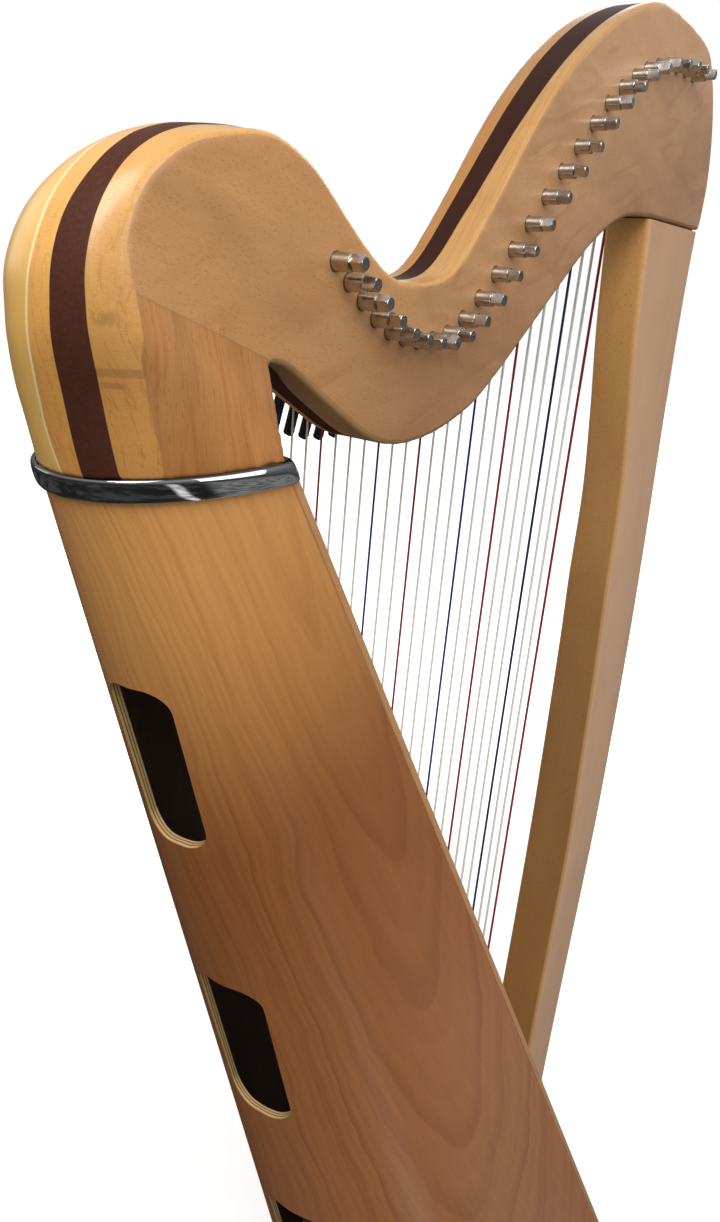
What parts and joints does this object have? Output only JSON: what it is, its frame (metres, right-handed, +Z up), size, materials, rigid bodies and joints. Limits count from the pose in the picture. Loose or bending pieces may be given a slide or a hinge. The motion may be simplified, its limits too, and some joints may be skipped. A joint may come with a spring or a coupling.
{
  "type": "lever harp",
  "caption": "Free-standing lever harp with a round-backed soundbox, curved laminated neck, bowed pillar, tuning pins and flip-up semitone levers.",
  "frame": {"origin": "on the floor, on the strings' plane, under the soundbox's foot", "axes": "+X from the player's shoulder to the pillar, +Y to the player's left, where the strings and levers are, +Z up"},
  "size_m": [0.6099, 0.329, 1.148],
  "materials": {
    "neck_beech": "satin lacquered beech with a dark core lamination",
    "pillar_beech": "satin lacquered beech",
    "box_beech": "satin lacquered bent beech",
    "board_spruce": "satin spruce",
    "band_chrome": "polished",
    "base_wood": "satin lacquered beech",
    "string_nylon": "clear nylon",
    "lever_black": "black",
    "pin_nickel": "nickel plated steel"
  },
  "bodies": {
    "frame": {"neck": "neck_beech", "pillar": "pillar_beech", "soundbox_shell": "box_beech", "soundboard": "board_spruce", "shoulder_band": "band_chrome", "base": "base_wood", "string_set": "string_nylon"},
    "lever_02": {"lever_02": "lever_black"},
    "lever_03": {"lever_03": "lever_black"},
    "lever_04": {"lever_04": "lever_black"},
    "lever_05": {"lever_05": "lever_black"},
    "lever_06": {"lever_06": "lever_black"},
    "lever_07": {"lever_07": "lever_black"},
    "lever_08": {"lever_08": "lever_black"},
    "lever_09": {"lever_09": "lever_black"},
    "lever_10": {"lever_10": "lever_black"},
    "lever_11": {"lever_11": "lever_black"},
    "lever_12": {"lever_12": "lever_black"},
    "lever_13": {"lever_13": "lever_black"},
    "lever_14": {"lever_14": "lever_black"},
    "lever_15": {"lever_15": "lever_black"},
    "lever_16": {"lever_16": "lever_black"},
    "lever_17": {"lever_17": "lever_black"},
    "lever_18": {"lever_18": "lever_black"},
    "lever_19": {"lever_19": "lever_black"},
    "lever_20": {"lever_20": "lever_black"},
    "lever_21": {"lever_21": "lever_black"},
    "lever_22": {"lever_22": "lever_black"},
    "lever_23": {"lever_23": "lever_black"},
    "lever_24": {"lever_24": "lever_black"},
    "lever_25": {"lever_25": "lever_black"},
    "lever_26": {"lever_26": "lever_black"},
    "lever_27": {"lever_27": "lever_black"},
    "tuning_pin_01": {"tuning_pin_01": "pin_nickel"},
    "tuning_pin_02": {"tuning_pin_02": "pin_nickel"},
    "tuning_pin_03": {"tuning_pin_03": "pin_nickel"},
    "tuning_pin_04": {"tuning_pin_04": "pin_nickel"},
    "tuning_pin_05": {"tuning_pin_05": "pin_nickel"},
    "tuning_pin_06": {"tuning_pin_06": "pin_nickel"},
    "tuning_pin_07": {"tuning_pin_07": "pin_nickel"},
    "tuning_pin_08": {"tuning_pin_08": "pin_nickel"},
    "tuning_pin_09": {"tuning_pin_09": "pin_nickel"},
    "tuning_pin_10": {"tuning_pin_10": "pin_nickel"},
    "tuning_pin_11": {"tuning_pin_11": "pin_nickel"},
    "tuning_pin_12": {"tuning_pin_12": "pin_nickel"},
    "tuning_pin_13": {"tuning_pin_13": "pin_nickel"},
    "tuning_pin_14": {"tuning_pin_14": "pin_nickel"},
    "tuning_pin_15": {"tuning_pin_15": "pin_nickel"},
    "tuning_pin_16": {"tuning_pin_16": "pin_nickel"},
    "tuning_pin_17": {"tuning_pin_17": "pin_nickel"},
    "tuning_pin_18": {"tuning_pin_18": "pin_nickel"},
    "tuning_pin_19": {"tuning_pin_19": "pin_nickel"},
    "tuning_pin_20": {"tuning_pin_20": "pin_nickel"},
    "tuning_pin_21": {"tuning_pin_21": "pin_nickel"},
    "tuning_pin_22": {"tuning_pin_22": "pin_nickel"},
    "tuning_pin_23": {"tuning_pin_23": "pin_nickel"},
    "tuning_pin_24": {"tuning_pin_24": "pin_nickel"},
    "tuning_pin_25": {"tuning_pin_25": "pin_nickel"},
    "tuning_pin_26": {"tuning_pin_26": "pin_nickel"},
    "tuning_pin_27": {"tuning_pin_27": "pin_nickel"}
  },
  "joints": [
    {"name": "lever_02_flip", "type": "hinge", "parent": "frame", "child": "lever_02", "pos_m": [-0.28841, 0.0063, 0.94659], "axis": [1, 0, 0], "range_deg": [0, 90]},
    {"name": "lever_03_flip", "type": "hinge", "parent": "frame", "child": "lever_03", "pos_m": [-0.27826, 0.0063, 0.9395], "axis": [1, 0, 0], "range_deg": [0, 90]},
    {"name": "lever_04_flip", "type": "hinge", "parent": "frame", "child": "lever_04", "pos_m": [-0.26756, 0.0063, 0.93264], "axis": [1, 0, 0], "range_deg": [0, 90]},
    {"name": "lever_05_flip", "type": "hinge", "parent": "frame", "child": "lever_05", "pos_m": [-0.25634, 0.0063, 0.9275], "axis": [1, 0, 0], "range_deg": [0, 90]},
    {"name": "lever_06_flip", "type": "hinge", "parent": "frame", "child": "lever_06", "pos_m": [-0.24462, 0.0063, 0.92477], "axis": [1, 0, 0], "range_deg": [0, 90]},
    {"name": "lever_07_flip", "type": "hinge", "parent": "frame", "child": "lever_07", "pos_m": [-0.23244, 0.0063, 0.92329], "axis": [1, 0, 0], "range_deg": [0, 90]},
    {"name": "lever_08_flip", "type": "hinge", "parent": "frame", "child": "lever_08", "pos_m": [-0.2198, 0.0063, 0.9235], "axis": [1, 0, 0], "range_deg": [0, 90]},
    {"name": "lever_09_flip", "type": "hinge", "parent": "frame", "child": "lever_09", "pos_m": [-0.20675, 0.0063, 0.92655], "axis": [1, 0, 0], "range_deg": [0, 90]},
    {"name": "lever_10_flip", "type": "hinge", "parent": "frame", "child": "lever_10", "pos_m": [-0.1933, 0.0063, 0.9335], "axis": [1, 0, 0], "range_deg": [0, 90]},
    {"name": "lever_11_flip", "type": "hinge", "parent": "frame", "child": "lever_11", "pos_m": [-0.17948, 0.0063, 0.9437], "axis": [1, 0, 0], "range_deg": [0, 90]},
    {"name": "lever_12_flip", "type": "hinge", "parent": "frame", "child": "lever_12", "pos_m": [-0.16531, 0.0063, 0.95569], "axis": [1, 0, 0], "range_deg": [0, 90]},
    {"name": "lever_13_flip", "type": "hinge", "parent": "frame", "child": "lever_13", "pos_m": [-0.15082, 0.0063, 0.9685], "axis": [1, 0, 0], "range_deg": [0, 90]},
    {"name": "lever_14_flip", "type": "hinge", "parent": "frame", "child": "lever_14", "pos_m": [-0.13603, 0.0063, 0.98217], "axis": [1, 0, 0], "range_deg": [0, 90]},
    {"name": "lever_15_flip", "type": "hinge", "parent": "frame", "child": "lever_15", "pos_m": [-0.12097, 0.0063, 0.99667], "axis": [1, 0, 0], "range_deg": [0, 90]},
    {"name": "lever_16_flip", "type": "hinge", "parent": "frame", "child": "lever_16", "pos_m": [-0.10566, 0.0063, 1.011], "axis": [1, 0, 0], "range_deg": [0, 90]},
    {"name": "lever_17_flip", "type": "hinge", "parent": "frame", "child": "lever_17", "pos_m": [-0.09013, 0.0063, 1.02513], "axis": [1, 0, 0], "range_deg": [0, 90]},
    {"name": "lever_18_flip", "type": "hinge", "parent": "frame", "child": "lever_18", "pos_m": [-0.0744, 0.0063, 1.03909], "axis": [1, 0, 0], "range_deg": [0, 90]},
    {"name": "lever_19_flip", "type": "hinge", "parent": "frame", "child": "lever_19", "pos_m": [-0.0585, 0.0063, 1.052], "axis": [1, 0, 0], "range_deg": [0, 90]},
    {"name": "lever_20_flip", "type": "hinge", "parent": "frame", "child": "lever_20", "pos_m": [-0.04245, 0.0063, 1.06281], "axis": [1, 0, 0], "range_deg": [0, 90]},
    {"name": "lever_21_flip", "type": "hinge", "parent": "frame", "child": "lever_21", "pos_m": [-0.02627, 0.0063, 1.0715], "axis": [1, 0, 0], "range_deg": [0, 90]},
    {"name": "lever_22_flip", "type": "hinge", "parent": "frame", "child": "lever_22", "pos_m": [-0.01, 0.0063, 1.07834], "axis": [1, 0, 0], "range_deg": [0, 90]},
    {"name": "lever_23_flip", "type": "hinge", "parent": "frame", "child": "lever_23", "pos_m": [0.00635, 0.0063, 1.0835], "axis": [1, 0, 0], "range_deg": [0, 90]},
    {"name": "lever_24_flip", "type": "hinge", "parent": "frame", "child": "lever_24", "pos_m": [0.02275, 0.0063, 1.08716], "axis": [1, 0, 0], "range_deg": [0, 90]},
    {"name": "lever_25_flip", "type": "hinge", "parent": "frame", "child": "lever_25", "pos_m": [0.03918, 0.0063, 1.0895], "axis": [1, 0, 0], "range_deg": [0, 90]},
    {"name": "lever_26_flip", "type": "hinge", "parent": "frame", "child": "lever_26", "pos_m": [0.0556, 0.0063, 1.09053], "axis": [1, 0, 0], "range_deg": [0, 90]},
    {"name": "lever_27_flip", "type": "hinge", "parent": "frame", "child": "lever_27", "pos_m": [0.072, 0.0063, 1.091], "axis": [1, 0, 0], "range_deg": [0, 90]},
    {"name": "tuning_pin_01_turn", "type": "hinge", "parent": "frame", "child": "tuning_pin_01", "pos_m": [-0.3, -0.028, 0.985], "axis": [0, 1, 0], "continuous": true},
    {"name": "tuning_pin_02_turn", "type": "hinge", "parent": "frame", "child": "tuning_pin_02", "pos_m": [-0.29041, -0.028, 0.97759], "axis": [0, 1, 0], "continuous": true},
    {"name": "tuning_pin_03_turn", "type": "hinge", "parent": "frame", "child": "tuning_pin_03", "pos_m": [-0.28026, -0.028, 0.9705], "axis": [0, 1, 0], "continuous": true},
    {"name": "tuning_pin_04_turn", "type": "hinge", "parent": "frame", "child": "tuning_pin_04", "pos_m": [-0.26956, -0.028, 0.96364], "axis": [0, 1, 0], "continuous": true},
    {"name": "tuning_pin_05_turn", "type": "hinge", "parent": "frame", "child": "tuning_pin_05", "pos_m": [-0.25834, -0.028, 0.9585], "axis": [0, 1, 0], "continuous": true},
    {"name": "tuning_pin_06_turn", "type": "hinge", "parent": "frame", "child": "tuning_pin_06", "pos_m": [-0.24662, -0.028, 0.95577], "axis": [0, 1, 0], "continuous": true},
    {"name": "tuning_pin_07_turn", "type": "hinge", "parent": "frame", "child": "tuning_pin_07", "pos_m": [-0.23444, -0.028, 0.95429], "axis": [0, 1, 0], "continuous": true},
    {"name": "tuning_pin_08_turn", "type": "hinge", "parent": "frame", "child": "tuning_pin_08", "pos_m": [-0.2218, -0.028, 0.9545], "axis": [0, 1, 0], "continuous": true},
    {"name": "tuning_pin_09_turn", "type": "hinge", "parent": "frame", "child": "tuning_pin_09", "pos_m": [-0.20875, -0.028, 0.95755], "axis": [0, 1, 0], "continuous": true},
    {"name": "tuning_pin_10_turn", "type": "hinge", "parent": "frame", "child": "tuning_pin_10", "pos_m": [-0.1953, -0.028, 0.9645], "axis": [0, 1, 0], "continuous": true},
    {"name": "tuning_pin_11_turn", "type": "hinge", "parent": "frame", "child": "tuning_pin_11", "pos_m": [-0.18148, -0.028, 0.9747], "axis": [0, 1, 0], "continuous": true},
    {"name": "tuning_pin_12_turn", "type": "hinge", "parent": "frame", "child": "tuning_pin_12", "pos_m": [-0.16731, -0.028, 0.98669], "axis": [0, 1, 0], "continuous": true},
    {"name": "tuning_pin_13_turn", "type": "hinge", "parent": "frame", "child": "tuning_pin_13", "pos_m": [-0.15282, -0.028, 0.9995], "axis": [0, 1, 0], "continuous": true},
    {"name": "tuning_pin_14_turn", "type": "hinge", "parent": "frame", "child": "tuning_pin_14", "pos_m": [-0.13803, -0.028, 1.01317], "axis": [0, 1, 0], "continuous": true},
    {"name": "tuning_pin_15_turn", "type": "hinge", "parent": "frame", "child": "tuning_pin_15", "pos_m": [-0.12297, -0.028, 1.02767], "axis": [0, 1, 0], "continuous": true},
    {"name": "tuning_pin_16_turn", "type": "hinge", "parent": "frame", "child": "tuning_pin_16", "pos_m": [-0.10766, -0.028, 1.042], "axis": [0, 1, 0], "continuous": true},
    {"name": "tuning_pin_17_turn", "type": "hinge", "parent": "frame", "child": "tuning_pin_17", "pos_m": [-0.09213, -0.028, 1.05613], "axis": [0, 1, 0], "continuous": true},
    {"name": "tuning_pin_18_turn", "type": "hinge", "parent": "frame", "child": "tuning_pin_18", "pos_m": [-0.0764, -0.028, 1.07008], "axis": [0, 1, 0], "continuous": true},
    {"name": "tuning_pin_19_turn", "type": "hinge", "parent": "frame", "child": "tuning_pin_19", "pos_m": [-0.0605, -0.028, 1.083], "axis": [0, 1, 0], "continuous": true},
    {"name": "tuning_pin_20_turn", "type": "hinge", "parent": "frame", "child": "tuning_pin_20", "pos_m": [-0.04445, -0.028, 1.09381], "axis": [0, 1, 0], "continuous": true},
    {"name": "tuning_pin_21_turn", "type": "hinge", "parent": "frame", "child": "tuning_pin_21", "pos_m": [-0.02827, -0.028, 1.1025], "axis": [0, 1, 0], "continuous": true},
    {"name": "tuning_pin_22_turn", "type": "hinge", "parent": "frame", "child": "tuning_pin_22", "pos_m": [-0.012, -0.028, 1.10934], "axis": [0, 1, 0], "continuous": true},
    {"name": "tuning_pin_23_turn", "type": "hinge", "parent": "frame", "child": "tuning_pin_23", "pos_m": [0.00435, -0.028, 1.1145], "axis": [0, 1, 0], "continuous": true},
    {"name": "tuning_pin_24_turn", "type": "hinge", "parent": "frame", "child": "tuning_pin_24", "pos_m": [0.02075, -0.028, 1.11816], "axis": [0, 1, 0], "continuous": true},
    {"name": "tuning_pin_25_turn", "type": "hinge", "parent": "frame", "child": "tuning_pin_25", "pos_m": [0.03717, -0.028, 1.1205], "axis": [0, 1, 0], "continuous": true},
    {"name": "tuning_pin_26_turn", "type": "hinge", "parent": "frame", "child": "tuning_pin_26", "pos_m": [0.0536, -0.028, 1.12153], "axis": [0, 1, 0], "continuous": true},
    {"name": "tuning_pin_27_turn", "type": "hinge", "parent": "frame", "child": "tuning_pin_27", "pos_m": [0.07, -0.028, 1.122], "axis": [0, 1, 0], "continuous": true}
  ]
}
